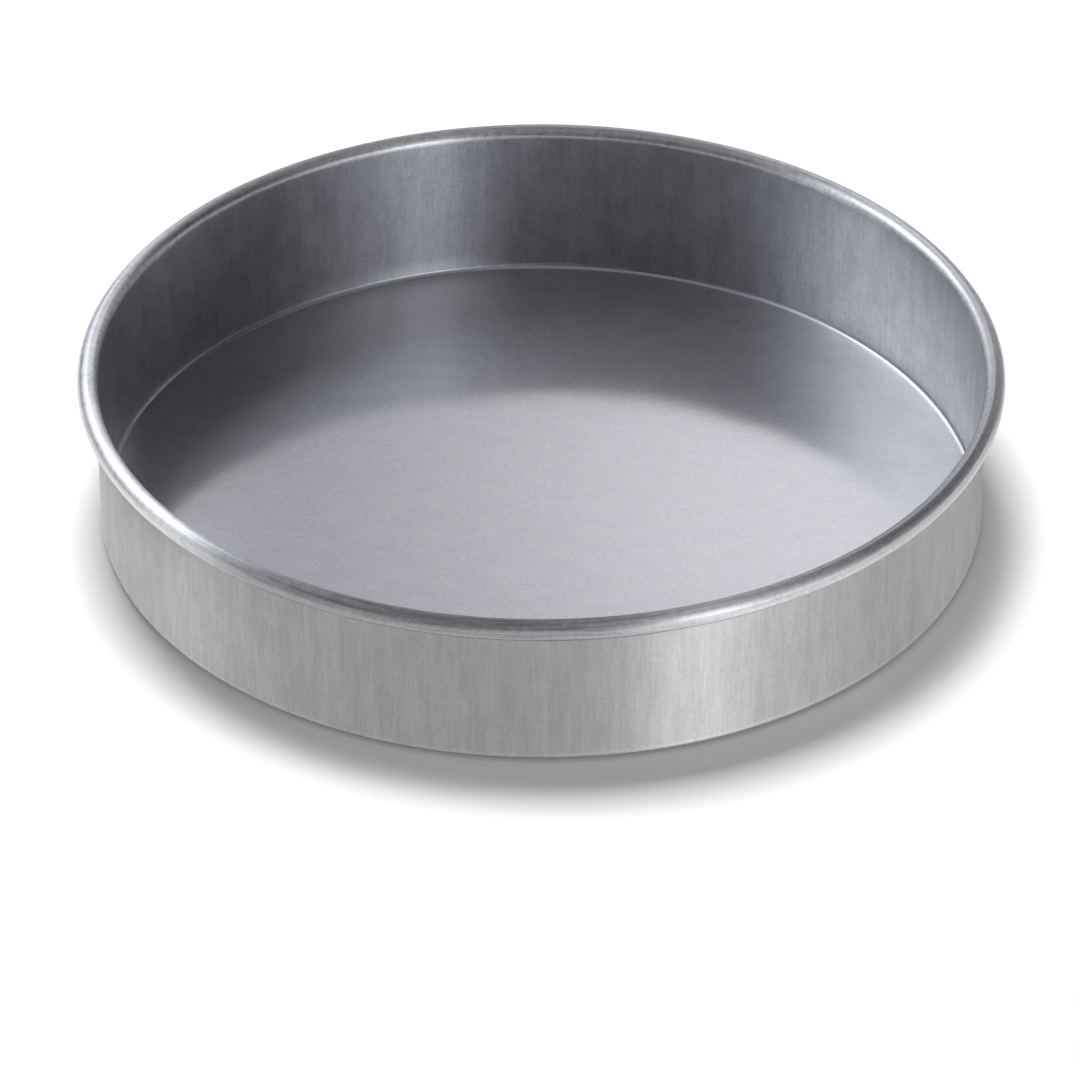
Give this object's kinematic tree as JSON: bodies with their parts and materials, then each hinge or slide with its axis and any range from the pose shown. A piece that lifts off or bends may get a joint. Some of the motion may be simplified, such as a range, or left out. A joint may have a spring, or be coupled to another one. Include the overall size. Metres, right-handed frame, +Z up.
{
  "type": "round cake tin",
  "caption": "Shallow straight-sided round cake tin of satin aluminised steel, with a small bottom corner and a rim rolled over a wire hoop.",
  "frame": {"origin": "centre of the flat underside, on the surface that the tin stands on", "axes": "+Z up through the open mouth, along the tin's axis; X and Y alike, across the tin"},
  "size_m": [0.239, 0.239, 0.044],
  "materials": {
    "aluminised_sheet": "satin, with fine upright draw lines on the wall and a grainy floor",
    "hoop_wire": "plain drawn wire"
  },
  "bodies": {
    "root": {"tin_body": "aluminised_sheet", "rim_wire": "hoop_wire"}
  },
  "joints": []
}
